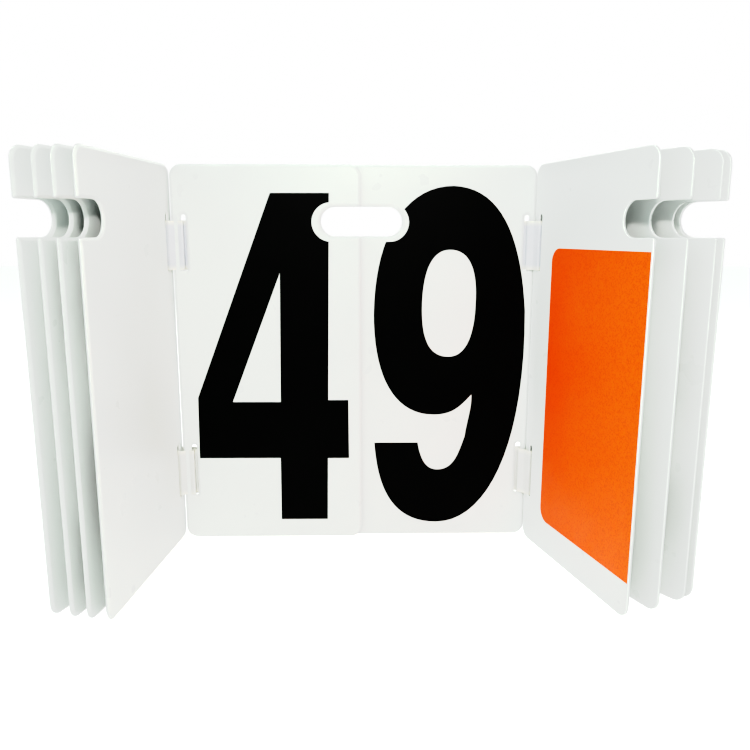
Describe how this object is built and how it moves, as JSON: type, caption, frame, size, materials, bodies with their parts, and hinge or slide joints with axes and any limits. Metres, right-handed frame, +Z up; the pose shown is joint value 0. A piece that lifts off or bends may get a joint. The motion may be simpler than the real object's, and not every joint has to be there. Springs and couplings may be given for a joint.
{
  "type": "flip scoreboard",
  "caption": "White hand-held flip scoreboard that stands open like a book: a wide board with a carrying hole, and number leaves hinged along both sides by strap loops.",
  "frame": {"origin": "middle of the back board's bottom edge, at half the board's thickness", "axes": "+Z up, +X to the reader's right along the board, -Y towards the reader, the way the open leaves stand"},
  "size_m": [0.5337, 0.1845, 0.3683],
  "materials": {
    "white_sheet": "satin white plastic sheet with rounded edges",
    "strap_plastic": "glossy flexible white strap",
    "black_numeral": "satin black adhesive film",
    "orange_panel": "bright orange adhesive film"
  },
  "bodies": {
    "board": {"back_board": "white_sheet", "lower_left_strap": "strap_plastic", "upper_left_strap": "strap_plastic", "lower_right_strap": "strap_plastic", "upper_right_strap": "strap_plastic"},
    "leaf_40": {"leaf_40": "white_sheet"},
    "leaf_30": {"leaf_30": "white_sheet"},
    "leaf_20": {"leaf_20": "white_sheet"},
    "leaf_10": {"leaf_10": "white_sheet"},
    "leaf_blank": {"leaf_blank": "white_sheet"},
    "leaf_7": {"leaf_7": "white_sheet"},
    "leaf_5": {"leaf_5": "white_sheet"},
    "leaf_3": {"leaf_3": "white_sheet"},
    "leaf_1": {"leaf_1": "white_sheet"}
  },
  "joints": [
    {"name": "leaf_40_turn", "type": "hinge", "parent": "board", "child": "leaf_40", "pos_m": [-0.176, -0.0041, 0], "axis": [0, 0, -1], "range_deg": [0, 90], "deforming": ["lower_left_strap", "upper_left_strap"]},
    {"name": "leaf_30_turn", "type": "hinge", "parent": "leaf_40", "child": "leaf_30", "pos_m": [-0.17572, -0.00242, 0], "axis": [0, 0, -1], "range_deg": [-96, 14], "deforming": ["lower_left_strap", "upper_left_strap"]},
    {"name": "leaf_20_turn", "type": "hinge", "parent": "leaf_30", "child": "leaf_20", "pos_m": [-0.18498, 0.00114, 0], "axis": [0, 0, -1], "range_deg": [-4, 26], "deforming": ["lower_left_strap", "upper_left_strap"]},
    {"name": "leaf_10_turn", "type": "hinge", "parent": "leaf_20", "child": "leaf_10", "pos_m": [-0.18931, 0.0019, 0], "axis": [0, 0, -1], "range_deg": [-3.5, 26.5], "deforming": ["lower_left_strap", "upper_left_strap"]},
    {"name": "leaf_blank_turn", "type": "hinge", "parent": "leaf_10", "child": "leaf_blank", "pos_m": [-0.19359, 0.00293, 0], "axis": [0, 0, -1], "range_deg": [-4.5, 25.5], "deforming": ["lower_left_strap", "upper_left_strap"]},
    {"name": "leaf_7_turn", "type": "hinge", "parent": "board", "child": "leaf_7", "pos_m": [0.17175, -0.00808, 0], "axis": [0, 0, 1], "range_deg": [-105.3, 4.7], "deforming": ["lower_right_strap", "upper_right_strap"]},
    {"name": "leaf_5_turn", "type": "hinge", "parent": "leaf_7", "child": "leaf_5", "pos_m": [0.16955, -0.00189, 0], "axis": [0, 0, 1], "range_deg": [-8.5, 51.5], "deforming": ["lower_right_strap", "upper_right_strap"]},
    {"name": "leaf_3_turn", "type": "hinge", "parent": "leaf_5", "child": "leaf_3", "pos_m": [0.17358, -0.00012, 0], "axis": [0, 0, 1], "range_deg": [-9, 51], "deforming": ["lower_right_strap", "upper_right_strap"]},
    {"name": "leaf_1_turn", "type": "hinge", "parent": "leaf_3", "child": "leaf_1", "pos_m": [0.17727, 0.00227, 0], "axis": [0, 0, 1], "range_deg": [-2, 58], "deforming": ["lower_right_strap", "upper_right_strap"]}
  ]
}
